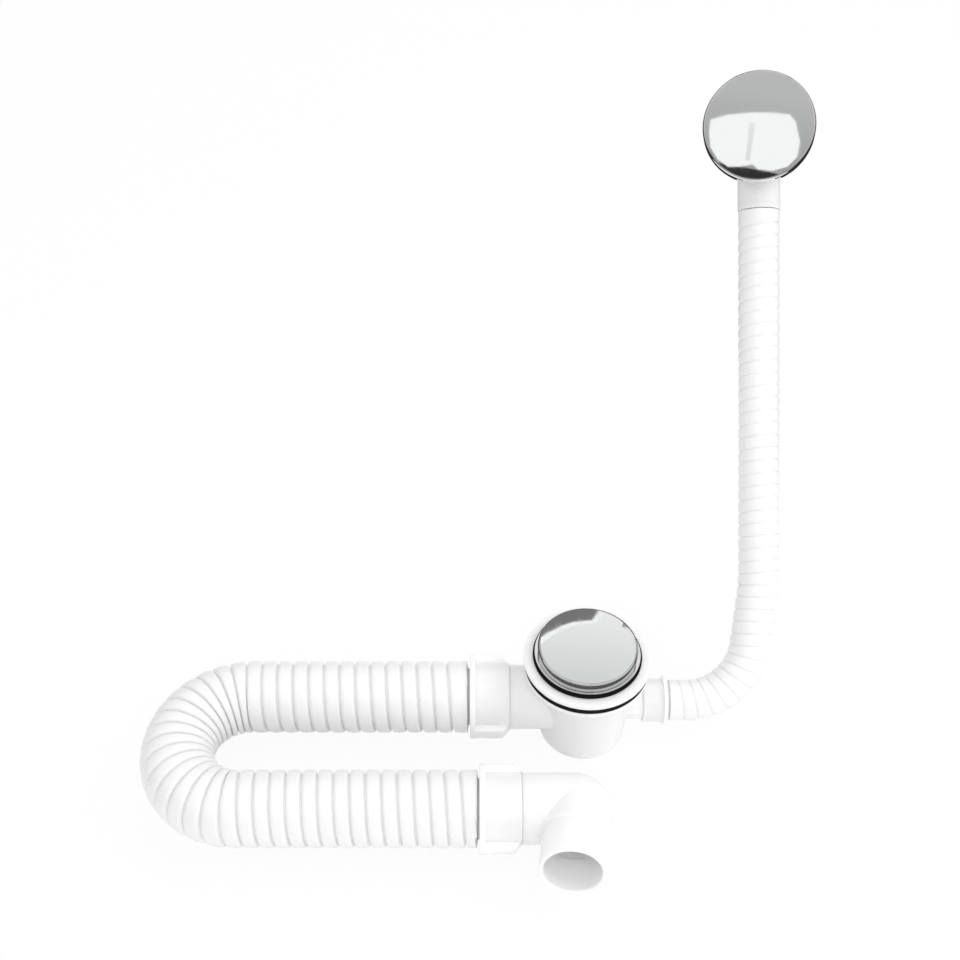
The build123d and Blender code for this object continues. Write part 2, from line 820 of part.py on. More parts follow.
with BuildPart() as overflow_hose:
    loft(
        hose_sections(
            overflow_wire, overflow_counts, [overflow_wire.length], overflow_outside, face_dir
        ),
        ruled=True,
        clean=False,
    )
    loft(
        hose_sections(
            overflow_wire, overflow_counts, [overflow_wire.length], overflow_inside, face_dir
        ),
        ruled=True,
        clean=False,
        mode=Mode.SUBTRACT,
    )
    with BuildSketch(inlet_nut_plane.offset(-inlet_neck_show - overflow_wall)):
        Circle(overflow_groove_d / 2)
    extrude(amount=overflow_wall)
    with BuildSketch(inlet_nut_plane.offset(-inlet_neck_show)):
        Circle(inlet_neck_d / 2)
    extrude(amount=inlet_neck_show + inlet_rim_w + inlet_flange_t)
    with BuildSketch(inlet_nut_plane.offset(inlet_rim_w)):
        Circle(inlet_thread_d / 2)
    extrude(amount=inlet_flange_t)
    with BuildSketch(inlet_nut_plane.offset(inlet_rim_w + inlet_flange_t)):
        Circle(inlet_bore / 2)
    extrude(
        amount=-inlet_neck_show - overflow_wall - inlet_rim_w - inlet_flange_t,
        mode=Mode.SUBTRACT,
    )
    extrude(
        ring_area(overflow_groove_d, cuff_d - 2 * cuff_wall, socket_mouth.offset(-cuff_wall)),
        amount=cuff_wall - seat_gap,
    )
    extrude(
        ring_area(cuff_d, cuff_d - 2 * cuff_wall, socket_mouth.offset(-seat_gap)),
        amount=seat_gap + cuff_l,
    )
overflow_hose.part.label = "overflow_hose"
export_step(overflow_hose.part, "parts/overflow_hose.step")

# The overflow head behind the bath wall

socket_bore = cuff_d + 2 * thread_gap
seal_groove_d = socket_d - 2 * socket_wall
with BuildPart() as overflow_head:
    with BuildSketch(socket_mouth):
        Circle(socket_d / 2)
    extrude(amount=socket_end + barrel_top)
    socket_ends = overflow_head.faces().sort_by(Axis(head_origin, rise_dir))
    fillet(socket_ends[-1].edges(), barrel_top / 3)
    fillet(socket_ends[0].edges(), socket_edge)
    with BuildSketch(head_plane):
        Circle(horn_d / 2)
    extrude(amount=head_flange_z + head_flange_t)
    with BuildSketch(head_plane.offset(head_flange_z)):
        Circle(head_flange_d / 2)
    extrude(amount=head_flange_t)
    with BuildSketch(socket_mouth.offset(head_seal_depth)):
        Circle(seal_groove_d / 2)
    extrude(amount=head_seal_wire, mode=Mode.SUBTRACT)
    with BuildSketch(socket_mouth):
        Circle(socket_bore / 2)
    extrude(amount=socket_end, mode=Mode.SUBTRACT)
    with BuildSketch(head_plane):
        Circle(horn_d / 2 - horn_wall)
    extrude(amount=head_flange_z + head_flange_t, mode=Mode.SUBTRACT)
    with BuildSketch(head_plane):
        Circle(insert_boss_d / 2)
        Rectangle(horn_d - horn_wall, horn_wall)
    extrude(amount=head_flange_z)
    with BuildSketch(head_plane.offset(head_flange_z + head_flange_t - screw_l)):
        Circle(screw_d / 2 + thread_gap)
    extrude(amount=screw_l, mode=Mode.SUBTRACT)
overflow_head.part.label = "overflow_head"
export_step(overflow_head.part, "parts/overflow_head.step")

with BuildPart() as head_seal:
    extrude(
        ring_area(
            seal_groove_d - thread_gap, cuff_d + thread_gap, socket_mouth.offset(head_seal_depth)
        ),
        amount=head_seal_wire,
    )
head_seal.part.label = "head_seal"
export_step(head_seal.part, "parts/head_seal.step")

wall_plane = head_plane.offset(head_flange_z + head_flange_t)
with BuildPart() as overflow_gasket:
    extrude(ring_area(gasket_d, horn_d, wall_plane), amount=gasket_t)
overflow_gasket.part.label = "overflow_gasket"
export_step(overflow_gasket.part, "parts/overflow_gasket.step")

# The insert is a grille with a rim that the chrome cover snaps over

insert_plane = wall_plane.offset(gasket_t)
window_r = (insert_boss_d + horn_d) / 4
with BuildPart() as overflow_insert:
    with BuildSketch(insert_plane):
        Circle(insert_d / 2)
    extrude(amount=insert_t)
    extrude(
        ring_area(insert_d, insert_d - 2 * insert_t, insert_plane.offset(insert_t)),
        amount=insert_wall_h,
    )
    with BuildSketch(insert_plane):
        with PolarLocations(window_r, insert_windows):
            SlotOverall(window_w, window_w / 2)
        Circle(screw_d / 2 + thread_gap)
    extrude(amount=insert_t, mode=Mode.SUBTRACT)
overflow_insert.part.label = "overflow_insert"
export_step(overflow_insert.part, "parts/overflow_insert.step")

head_seat = insert_plane.offset(insert_t)
with BuildPart() as overflow_screw:
    with BuildSketch(head_seat):
        Circle(screw_head_d / 2)
    extrude(amount=screw_head_t)
    with BuildSketch(head_seat):
        Circle(screw_d / 2)
    extrude(amount=-screw_l)
    with BuildSketch(head_seat.offset(screw_head_t)):
        Rectangle(screw_head_d, slot_w)
    extrude(amount=-screw_head_t / 2, mode=Mode.SUBTRACT)
overflow_screw.part.label = "overflow_screw"
export_step(overflow_screw.part, "parts/overflow_screw.step")

# The cover: a shallow chrome dish with a rolled edge and a notch for the water

cover_back = insert_plane.offset(seat_gap)
plate_r = plate_d / 2
with BuildPart() as overflow_plate:
    with BuildSketch(half_plane(cover_back)) as plate_half:
        with BuildLine():
            TangentArc((0, plate_depth + plate_rise), (plate_r, plate_depth), tangent=(1, 0))
            Polyline(
                (plate_r, plate_depth),
                (plate_r, 0),
                (plate_r - plate_wall, 0),
                (plate_r - plate_wall, plate_depth - plate_wall),
            )
            TangentArc(
                (0, plate_depth + plate_rise - plate_wall),
                (plate_r - plate_wall, plate_depth - plate_wall),
                tangent=(1, 0),
            )
            Line((0, plate_depth + plate_rise - plate_wall), (0, plate_depth + plate_rise))
        make_face()
        fillet(plate_half.vertices().sort_by_distance((plate_r, plate_depth))[0], plate_roll)
    revolve(axis=turning_axis(cover_back))
    extrude(
        ring_area(insert_d + 4 * plate_wall, insert_d + 2 * thread_gap, cover_back.offset(insert_t)),
        amount=plate_depth - insert_t,
    )
    with BuildSketch(cover_back):
        with Locations((0, -plate_r)):
            Rectangle(plate_notch_w, plate_r / 2)
    extrude(amount=plate_notch_h, mode=Mode.SUBTRACT)
overflow_plate.part.label = "overflow_plate"
export_step(overflow_plate.part, "parts/overflow_plate.step")
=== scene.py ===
from math import cos, pi, radians, sin

import bmesh
import bpy
from bpy.props import FloatProperty, FloatVectorProperty, IntProperty, PointerProperty
from bpy.types import Operator, Panel, PropertyGroup
from mathutils import Matrix, Vector


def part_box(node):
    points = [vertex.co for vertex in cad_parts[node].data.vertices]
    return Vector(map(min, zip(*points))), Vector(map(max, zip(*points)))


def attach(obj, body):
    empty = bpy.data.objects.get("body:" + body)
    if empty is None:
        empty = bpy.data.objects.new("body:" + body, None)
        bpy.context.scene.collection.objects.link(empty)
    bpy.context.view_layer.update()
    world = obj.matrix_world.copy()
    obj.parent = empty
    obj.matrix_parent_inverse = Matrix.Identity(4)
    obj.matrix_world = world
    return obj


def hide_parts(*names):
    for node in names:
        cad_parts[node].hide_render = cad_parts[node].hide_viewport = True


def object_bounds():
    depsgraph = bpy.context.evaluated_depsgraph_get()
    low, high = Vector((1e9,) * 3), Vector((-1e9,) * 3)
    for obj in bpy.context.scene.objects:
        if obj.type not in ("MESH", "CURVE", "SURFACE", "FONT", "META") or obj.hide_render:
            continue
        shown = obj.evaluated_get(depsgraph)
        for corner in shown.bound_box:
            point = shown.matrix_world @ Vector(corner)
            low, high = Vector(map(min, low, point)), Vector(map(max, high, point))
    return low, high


bl_info = {
    "name": "Bath Waste and Overflow",
    "version": (1, 0, 0),
    "blender": (4, 5, 0),
    "location": "View3D > Sidebar > Bath Waste",
    "description": "Dresses the bath waste and overflow: hoses, mouldings, chrome and rubber",
    "category": "Object",
}

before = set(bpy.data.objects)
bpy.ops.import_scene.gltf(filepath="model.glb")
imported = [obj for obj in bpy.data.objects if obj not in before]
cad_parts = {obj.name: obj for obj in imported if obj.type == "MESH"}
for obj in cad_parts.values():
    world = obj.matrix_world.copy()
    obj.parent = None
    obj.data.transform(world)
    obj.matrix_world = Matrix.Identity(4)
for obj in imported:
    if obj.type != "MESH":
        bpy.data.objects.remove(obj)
cad_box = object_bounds()

MM = 0.001
SHARP_ANGLE = radians(35)

# A hose is first screwed straight, with one turn this long, and points nearer than MERGE join
TURN = 10 * MM
MERGE = 0.01 * MM

# Turns that a spiral is made longer than its path at each end, so that both its rims are whole
SPARE_TURNS = 2

# Turns over which a corrugation rises from its hose's neck, and over which its groove runs out
FADE = 0.07
RUN_OUT = 0.4

# One turn of a hose from groove to crest: shares of the turn and of the groove's depth
BAND = (
    (0.0, 0.0),
    (0.035, 0.03),
    (0.065, 0.4),
    (0.095, 0.7),
    (0.14, 0.85),
    (0.22, 0.94),
    (0.36, 0.99),
    (0.5, 1.0),
)
INNER_BAND = ((0.0, 0.0), (0.12, 0.8), (0.5, 1.0))

MOULDINGS = (
    "plug_carrier",
    "index_ring",
    "sleeve_plug",
    "clamp_ring",
    "waste_body",
    "outlet_nut",
    "elbow_nut",
    "outlet_elbow",
    "inlet_nut",
    "overflow_head",
    "overflow_insert",
)
RUBBERS = (
    "plug_seal",
    "flange_seal",
    "body_seal",
    "outlet_seal",
    "elbow_seal",
    "inlet_seal",
    "head_seal",
    "overflow_gasket",
)
CHROMES = ("plug_cap", "waste_flange", "overflow_plate")
BRASSES = ("plunger", "click_sleeve")
STEELS = ("click_spring", "overflow_screw")

# Shades that the skins drift to, and the least and the most of each finish's roughness
MOULDING_SHADE = (0.9, 0.905, 0.895)
HOSE_SHADE = (0.8, 0.81, 0.8)
RUBBER_SHADE = (0.012, 0.012, 0.012)
MOULDING_ROUGHNESS = (0.28, 0.4)
HOSE_ROUGHNESS = (0.3, 0.42)
RUBBER_ROUGHNESS = (0.6, 0.8)
CHROME_ROUGHNESS = (0.02, 0.07)
BRASS_ROUGHNESS = (0.2, 0.35)
STEEL_ROUGHNESS = (0.2, 0.35)

# Strength and height of the moulded grain, and of the scratches in metal
GRAIN_BUMP, GRAIN_HEIGHT = 0.02, 0.2 * MM
SCRATCH_BUMP, SCRATCH_HEIGHT = 0.01, 0.05 * MM

# Light that goes into the moulded plastic and comes out again, and the shine of the seals
SOAK_SHARE = 0.6
SOAK_DEPTH = 6 * MM
RUBBER_SHINE = 0.08

# Overflow cover: the way that it faces, and the sphere of its shallow dome
COVER_AXIS = (-0.207912, -0.715372, 0.667095)
DOME_RADIUS = 371.6 * MM
DOME_DEPTH = 2.1 * MM
DOME_COS = cos(radians(6.5))

# Room between the lowest piece and the floor, so that no two faces lie in one plane
FLOOR_GAP = 0.2 * MM
FLOOR_GREY = (0.9, 0.9, 0.9)

# Square lamps, all turned to the waste: where each stands, in metres, and its power in watts
LAMPS = (
    ("right_light", (1.36, 0.0, 1.69), 11.0),
    ("front_light", (-0.05, -1.41, 1.69), 10.5),
    ("low_light", (1.01, -1.84, 0.57), 4.0),
    ("back_light", (-0.05, 1.41, 1.69), 5.0),
)

# What only mirrors see, round the object: the heights between which the room brightens, in
# metres, and in millimetres its dark ground, a dark ring round the flange, and a pale hoop that
# ends a little behind the plug
SKY_FROM, SKY_TO = 0.9, 2.9
GROUND_GAP, GROUND_BORE = 1, 450
RING_HEIGHT, RING_RADIUS, RING_BORE = 0.6, 70, 38.2
HOOP_RADIUS, HOOP_DEPTH, HOOP_HEIGHT, HOOP_END = 260, 260, 170, 40
CIRCLE_SIDES = 64

# How bright each kind of card is at its foot and at its top, and how far from its middle, in
# metres, those two levels are reached
CARD_GLOWS = (
    ("white_card", 1.05, 1.05),
    ("shade_card", 0.2, 0.16),
    ("pale_card", 0.98, 0.7),
    ("grey_card", 0.4, 0.54),
    ("strip_card", 0.82, 0.95),
    ("dusk_rim", 0.1, 0.1),
    ("hoop_card", 0.6, 0.6),
)
GLOW_REACH = 0.25

# Directions that the cap and the overflow's cover mirror towards the camera, and the outlines of
# the cards there, in millimetres: level, then up, as the mirror sees them
CAP_LOOKS = (0.083, 0.632, 0.77)
CAP_EDGE = (
    (-380, 110),
    (-300, 60),
    (-210, 0),
    (-170, -58),
    (-125, -101),
    (-71, -132),
    (4, -152),
    (36, -224),
    (70, -300),
)
CAP_CARD = CAP_EDGE + ((420, -300), (420, 420), (-380, 420))
LIP_SHIFT = 15
CAP_LIP = CAP_EDGE + tuple((x + LIP_SHIFT, y + LIP_SHIFT) for x, y in reversed(CAP_EDGE))
CAP_SHADE_RADIUS = 600
PLATE_LOOKS = (-0.197, -0.524, 0.829)
PLATE_GLOW = (
    (340, -102),
    (351, -13),
    (236, 38),
    (87, 77),
    (-45, 103),
    (-181, 119),
    (-236, 78),
    (-259, 28),
    (-303, -51),
    (-314, -159),
    (-265, -244),
    (-170, -297),
    (-63, -306),
    (-19, -278),
    (64, -312),
    (152, -328),
    (235, -288),
    (308, -207),
)
PLATE_STRIP = ((34, 8), (72, 2), (50, -150), (38, -255), (6, -255), (16, -150))
PLATE_CARD = ((-450, -318), (450, -318), (450, 450), (-450, 450))
PLATE_DARK = ((-560, -560), (560, -560), (560, -318), (-560, -318))
PLATE_RING_RADIUS, PLATE_RING_BORE = 432, 404


# Sizes and colours that a user would change


class BATHWASTE_PG_trap_hose(PropertyGroup):
    """Sizes of the thick corrugated hose"""

    upper_turns: FloatProperty(
        name="Upper Run Turns", description="Turns on the run from the waste", default=14.07
    )
    bend_turns: FloatProperty(
        name="Bend Turns", description="Turns round the half-circle bend", default=15.97
    )
    lower_turns: FloatProperty(
        name="Lower Run Turns", description="Turns on the run to the elbow", default=15.35
    )
    phase: FloatProperty(
        name="Phase", description="Where the spiral groove starts, in turns", default=0.084
    )
    groove_depth: FloatProperty(
        name="Groove Depth",
        description="From the crest of a turn down to its groove",
        default=2.9 * MM,
        unit="LENGTH",
    )
    neck_radius: FloatProperty(
        name="Neck Radius",
        description="Plain end of the hose inside its nut",
        default=19.8 * MM,
        unit="LENGTH",
    )
    neck_show: FloatProperty(
        name="Neck Show",
        description="Plain end seen between the nut and the first turn",
        default=1.0 * MM,
        unit="LENGTH",
    )
    flange_radius: FloatProperty(
        name="Flange Radius",
        description="Rim that the nut presses on its washer",
        default=21.35 * MM,
        unit="LENGTH",
    )
    flange_thickness: FloatProperty(
        name="Flange Thickness",
        description="Thickness of the rim, and of the nut's lip in front of it",
        default=3 * MM,
        unit="LENGTH",
    )
    wall: FloatProperty(
        name="Wall", description="Thickness of the hose", default=1.0 * MM, unit="LENGTH"
    )
    sides: IntProperty(name="Sides", description="Sides of each turn", default=72, min=12)


class BATHWASTE_PG_overflow_hose(PropertyGroup):
    """Sizes of the slim corrugated hose"""

    lean: FloatProperty(
        name="Lean",
        description="How far the hose leans back from upright",
        default=radians(43),
        subtype="ANGLE",
    )
    low_bend_radius: FloatProperty(
        name="Low Bend Radius", description="Tight bend", default=46.5 * MM, unit="LENGTH"
    )
    low_bend_turn: FloatProperty(
        name="Low Bend Turn",
        description="Turn of the tight bend",
        default=radians(82),
        subtype="ANGLE",
    )
    leaning_run: FloatProperty(
        name="Leaning Run",
        description="Straight between the two bends",
        default=34.4 * MM,
        unit="LENGTH",
    )
    easy_bend_radius: FloatProperty(
        name="Easy Bend Radius",
        description="Wide bend that leads into the straight rise",
        default=150 * MM,
        unit="LENGTH",
    )
    riser_offset: FloatProperty(
        name="Riser Offset",
        description="From the waste's axis to the straight rise",
        default=126 * MM,
        unit="LENGTH",
    )
    rise: FloatProperty(
        name="Rise",
        description="From the level run up to the mouth of the head's socket",
        default=351.3 * MM,
        unit="LENGTH",
    )
    pitch: FloatProperty(
        name="Pitch", description="From turn to turn", default=8.85 * MM, unit="LENGTH"
    )
    phase: FloatProperty(
        name="Phase", description="Where the spiral groove starts, in turns", default=-0.24
    )
    crest_radius: FloatProperty(
        name="Crest Radius",
        description="Largest radius of a turn",
        default=14.45 * MM,
        unit="LENGTH",
    )
    groove_depth: FloatProperty(
        name="Groove Depth",
        description="From the crest of a turn down to its groove",
        default=0.95 * MM,
        unit="LENGTH",
    )
    neck_radius: FloatProperty(
        name="Neck Radius", description="Plain end in the nut", default=11 * MM, unit="LENGTH"
    )
    bore_radius: FloatProperty(
        name="Bore Radius", description="Bore of that end", default=9.8 * MM, unit="LENGTH"
    )
    neck_show: FloatProperty(
        name="Neck Show",
        description="Plain end seen outside the nut",
        default=1.4 * MM,
        unit="LENGTH",
    )
    flange_radius: FloatProperty(
        name="Flange Radius",
        description="Rim that the nut presses on its washer",
        default=13.35 * MM,
        unit="LENGTH",
    )
    flange_seat: FloatProperty(
        name="Flange Seat",
        description="From the nut's face to the rim behind its lip",
        default=2.6 * MM,
        unit="LENGTH",
    )
    flange_thickness: FloatProperty(
        name="Flange Thickness", description="Thickness of the rim", default=2 * MM, unit="LENGTH"
    )
    cuff_radius: FloatProperty(
        name="Cuff Radius", description="Plain end in the head", default=12.4 * MM, unit="LENGTH"
    )
    cuff_wall: FloatProperty(
        name="Cuff Wall", description="Thickness of the plain end", default=1.5 * MM, unit="LENGTH"
    )
    cuff_length: FloatProperty(
        name="Cuff Length",
        description="How far the plain end goes into the head",
        default=16 * MM,
        unit="LENGTH",
    )
    wall: FloatProperty(
        name="Wall", description="Thickness of the hose", default=0.9 * MM, unit="LENGTH"
    )
    sides: IntProperty(name="Sides", description="Sides of each turn", default=56, min=12)


class BATHWASTE_PG_finish(PropertyGroup):
    """Colours and finishes"""

    moulding: FloatVectorProperty(
        name="Moulding",
        description="Colour of the moulded pieces",
        default=(0.94, 0.945, 0.94),
        subtype="COLOR",
        size=3,
    )
    hose: FloatVectorProperty(
        name="Hose",
        description="Colour of the hoses",
        default=(0.87, 0.875, 0.87),
        subtype="COLOR",
        size=3,
    )
    rubber: FloatVectorProperty(
        name="Rubber",
        description="Colour of the seals",
        default=(0.006, 0.006, 0.007),
        subtype="COLOR",
        size=3,
    )
    chrome: FloatVectorProperty(
        name="Chrome",
        description="Colour of the plated pieces",
        default=(0.86, 0.865, 0.87),
        subtype="COLOR",
        size=3,
    )
    brass: FloatVectorProperty(
        name="Brass",
        description="Colour of the cartridge",
        default=(0.72, 0.5, 0.2),
        subtype="COLOR",
        size=3,
    )
    steel: FloatVectorProperty(
        name="Steel",
        description="Colour of the spring and the screw",
        default=(0.6, 0.61, 0.62),
        subtype="COLOR",
        size=3,
    )


class BATHWASTE_PG_stage(PropertyGroup):
    """Camera, floor, lights and what the chrome mirrors"""

    camera_place: FloatVectorProperty(
        name="Camera Place",
        description="Where the camera stands",
        default=(-74.25 * MM, -573.8 * MM, 703.8 * MM),
        subtype="TRANSLATION",
        size=3,
    )
    camera_pitch: FloatProperty(
        name="Camera Pitch",
        description="How far the camera looks down from level",
        default=radians(43.13),
        subtype="ANGLE",
    )
    lens: FloatProperty(
        name="Lens", description="Focal length in millimetres", default=48.75, unit="CAMERA"
    )
    floor_reach: FloatProperty(
        name="Floor Reach", description="Half the side of the floor", default=6.0, unit="LENGTH"
    )
    shadow_share: FloatProperty(
        name="Shadow Share",
        description="How much of the floor's own light and shade the camera sees",
        default=0.08,
        min=0,
        max=1,
        subtype="FACTOR",
    )
    lamp_side: FloatProperty(
        name="Lamp Side", description="Side of each square lamp", default=1.2, unit="LENGTH"
    )
    daylight: FloatProperty(
        name="Daylight", description="Even light from all sides", default=0.77, min=0
    )
    room_radius: FloatProperty(
        name="Room Radius",
        description="Round room that only the shiny surfaces reflect",
        default=4.0,
        unit="LENGTH",
    )
    room_glow: FloatProperty(
        name="Room Glow", description="How bright the room is low down", default=0.03, min=0
    )
    room_sky: FloatProperty(
        name="Room Sky", description="How bright the room is overhead", default=0.62, min=0
    )
    card_distance: FloatProperty(
        name="Card Distance",
        description="From a mirror to the cards that it reflects",
        default=1.5,
        unit="LENGTH",
    )


# Shader building


def new_material(name):
    """Node material that has no nodes yet."""
    material = bpy.data.materials.new(name)
    material.use_nodes = True
    material.node_tree.nodes.clear()
    return material


def link(tree, source, target):
    """Joins two sockets."""
    tree.links.new(source, target)


def grain_group():
    """Moulded skin: slow colour drift, fine grain and roughness, as plastic and rubber have."""
    group = bpy.data.node_groups.new("moulded_skin", "ShaderNodeTree")
    sockets = group.interface
    sockets.new_socket("Color", in_out="INPUT", socket_type="NodeSocketColor")
    sockets.new_socket("Shade Color", in_out="INPUT", socket_type="NodeSocketColor")
    for name, value in (
        ("Drift Scale", 18.0),
        ("Drift Amount", 0.3),
        ("Grain Scale", 900.0),
        ("Roughness Low", 0.3),
        ("Roughness High", 0.45),
    ):
        socket = sockets.new_socket(name, in_out="INPUT", socket_type="NodeSocketFloat")
        socket.default_value = value
    sockets.new_socket("Color", in_out="OUTPUT", socket_type="NodeSocketColor")
    sockets.new_socket("Roughness", in_out="OUTPUT", socket_type="NodeSocketFloat")
    sockets.new_socket("Height", in_out="OUTPUT", socket_type="NodeSocketFloat")
    nodes = group.nodes
    inside = nodes.new("NodeGroupInput")
    outside = nodes.new("NodeGroupOutput")
    place = nodes.new("ShaderNodeTexCoord")
    drift = nodes.new("ShaderNodeTexNoise")
    drift.inputs["Detail"].default_value = 3.0
    grain = nodes.new("ShaderNodeTexNoise")
    grain.inputs["Detail"].default_value = 5.0
    grain.inputs["Roughness"].default_value = 0.65
    share = nodes.new("ShaderNodeMath")
    share.operation = "MULTIPLY"
    tint = nodes.new("ShaderNodeMix")
    tint.data_type = "RGBA"
    rough = nodes.new("ShaderNodeMapRange")
    link(group, place.outputs["Object"], drift.inputs["Vector"])
    link(group, place.outputs["Object"], grain.inputs["Vector"])
    link(group, inside.outputs["Drift Scale"], drift.inputs["Scale"])
    link(group, inside.outputs["Grain Scale"], grain.inputs["Scale"])
    link(group, drift.outputs["Fac"], share.inputs[0])
    link(group, inside.outputs["Drift Amount"], share.inputs[1])
    link(group, share.outputs[0], tint.inputs["Factor"])
    # Sockets 6, 7 and 2 are the two colours and the result of a Mix node for colours
    link(group, inside.outputs["Color"], tint.inputs[6])
    link(group, inside.outputs["Shade Color"], tint.inputs[7])
    link(group, grain.outputs["Fac"], rough.inputs["Value"])
    link(group, inside.outputs["Roughness Low"], rough.inputs["To Min"])
    link(group, inside.outputs["Roughness High"], rough.inputs["To Max"])
    link(group, tint.outputs[2], outside.inputs["Color"])
    link(group, rough.outputs["Result"], outside.inputs["Roughness"])
    link(group, grain.outputs["Fac"], outside.inputs["Height"])
    return group


def wear_group():
    """Polished metal: hairline scratches and faint smears that change the roughness."""
    group = bpy.data.node_groups.new("handled_metal", "ShaderNodeTree")
    sockets = group.interface
    for name, value in (
        ("Smear Scale", 30.0),
        ("Scratch Scale", 400.0),
        ("Roughness Low", 0.03),
        ("Roughness High", 0.08),
    ):
        socket = sockets.new_socket(name, in_out="INPUT", socket_type="NodeSocketFloat")
        socket.default_value = value
    sockets.new_socket("Roughness", in_out="OUTPUT", socket_type="NodeSocketFloat")
    sockets.new_socket("Height", in_out="OUTPUT", socket_type="NodeSocketFloat")
    nodes = group.nodes
    inside = nodes.new("NodeGroupInput")
    outside = nodes.new("NodeGroupOutput")
    place = nodes.new("ShaderNodeTexCoord")
    smear = nodes.new("ShaderNodeTexNoise")
    smear.inputs["Detail"].default_value = 4.0
    stretch = nodes.new("ShaderNodeMapping")
    stretch.inputs["Scale"].default_value = (1.0, 0.08, 0.3)
    scratch = nodes.new("ShaderNodeTexNoise")
    scratch.inputs["Detail"].default_value = 2.0
    blend = nodes.new("ShaderNodeMath")
    blend.operation = "MULTIPLY"
    # The product of the two noises lies mostly between these
    rough = nodes.new("ShaderNodeMapRange")
    rough.inputs["From Min"].default_value = 0.1
    rough.inputs["From Max"].default_value = 0.5
    link(group, place.outputs["Object"], smear.inputs["Vector"])
    link(group, place.outputs["Object"], stretch.inputs["Vector"])
    link(group, stretch.outputs["Vector"], scratch.inputs["Vector"])
    link(group, inside.outputs["Smear Scale"], smear.inputs["Scale"])
    link(group, inside.outputs["Scratch Scale"], scratch.inputs["Scale"])
    link(group, smear.outputs["Fac"], blend.inputs[0])
    link(group, scratch.outputs["Fac"], blend.inputs[1])
    link(group, blend.outputs[0], rough.inputs["Value"])
    link(group, inside.outputs["Roughness Low"], rough.inputs["To Min"])
    link(group, inside.outputs["Roughness High"], rough.inputs["To Max"])
    link(group, rough.outputs["Result"], outside.inputs["Roughness"])
    link(group, scratch.outputs["Fac"], outside.inputs["Height"])
    return group


def named_group(name, build):
    """A node group, built the first time it is asked for."""
    return bpy.data.node_groups.get(name) or build()


def skin_material(name, color, shade, roughness, plain=()):
    """Plastic or rubber with the moulded skin, and plain values for other sockets."""
    material = new_material(name)
    tree = material.node_tree
    out = tree.nodes.new("ShaderNodeOutputMaterial")
    surface = tree.nodes.new("ShaderNodeBsdfPrincipled")
    skin = tree.nodes.new("ShaderNodeGroup")
    skin.node_tree = named_group("moulded_skin", grain_group)
    skin.inputs["Color"].default_value = (*color, 1)
    skin.inputs["Shade Color"].default_value = (*shade, 1)
    skin.inputs["Roughness Low"].default_value = roughness[0]
    skin.inputs["Roughness High"].default_value = roughness[1]
    relief = tree.nodes.new("ShaderNodeBump")
    relief.inputs["Strength"].default_value = GRAIN_BUMP
    relief.inputs["Distance"].default_value = GRAIN_HEIGHT
    link(tree, skin.outputs["Color"], surface.inputs["Base Color"])
    link(tree, skin.outputs["Roughness"], surface.inputs["Roughness"])
    link(tree, skin.outputs["Height"], relief.inputs["Height"])
    link(tree, relief.outputs["Normal"], surface.inputs["Normal"])
    link(tree, surface.outputs["BSDF"], out.inputs["Surface"])
    for socket, value in plain:
        surface.inputs[socket].default_value = value
    return material


def metal_material(name, color, roughness):
    """Metal with the handled surface."""
    material = new_material(name)
    tree = material.node_tree
    out = tree.nodes.new("ShaderNodeOutputMaterial")
    surface = tree.nodes.new("ShaderNodeBsdfPrincipled")
    surface.inputs["Base Color"].default_value = (*color, 1)
    surface.inputs["Metallic"].default_value = 1.0
    wear = tree.nodes.new("ShaderNodeGroup")
    wear.node_tree = named_group("handled_metal", wear_group)
    wear.inputs["Roughness Low"].default_value = roughness[0]
    wear.inputs["Roughness High"].default_value = roughness[1]
    relief = tree.nodes.new("ShaderNodeBump")
    relief.inputs["Strength"].default_value = SCRATCH_BUMP
    relief.inputs["Distance"].default_value = SCRATCH_HEIGHT
    link(tree, wear.outputs["Roughness"], surface.inputs["Roughness"])
    link(tree, wear.outputs["Height"], relief.inputs["Height"])
    link(tree, relief.outputs["Normal"], surface.inputs["Normal"])
    link(tree, surface.outputs["BSDF"], out.inputs["Surface"])
    return material


def dress(names, material):
    """Gives CAD nodes a material."""
    for name in names:
        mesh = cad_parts[name].data
        mesh.materials.clear()
        mesh.materials.append(material)


# Mesh building


def add_piece(name, mesh, body, replaced):
    """Puts a mesh into the scene as a piece that stands for a CAD node."""
    piece = bpy.data.objects.new(name, mesh)
    bpy.context.scene.collection.objects.link(piece)
    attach(piece, body)
    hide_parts(replaced)


def finish_mesh(bm, name, material, body, replaced):
    """Turns a bmesh into a smooth piece with creases."""
    bmesh.ops.recalc_face_normals(bm, faces=bm.faces)
    for face in bm.faces:
        face.smooth = True
    for edge in bm.edges:
        edge.smooth = edge.calc_face_angle(0) < SHARP_ANGLE
    mesh = bpy.data.meshes.new(name)
    bm.to_mesh(mesh)
    bm.free()
    mesh.materials.append(material)
    add_piece(name, mesh, body, replaced)


def centre(node):
    """Middle of a CAD node's box."""
    low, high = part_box(node)
    return (low + high) / 2


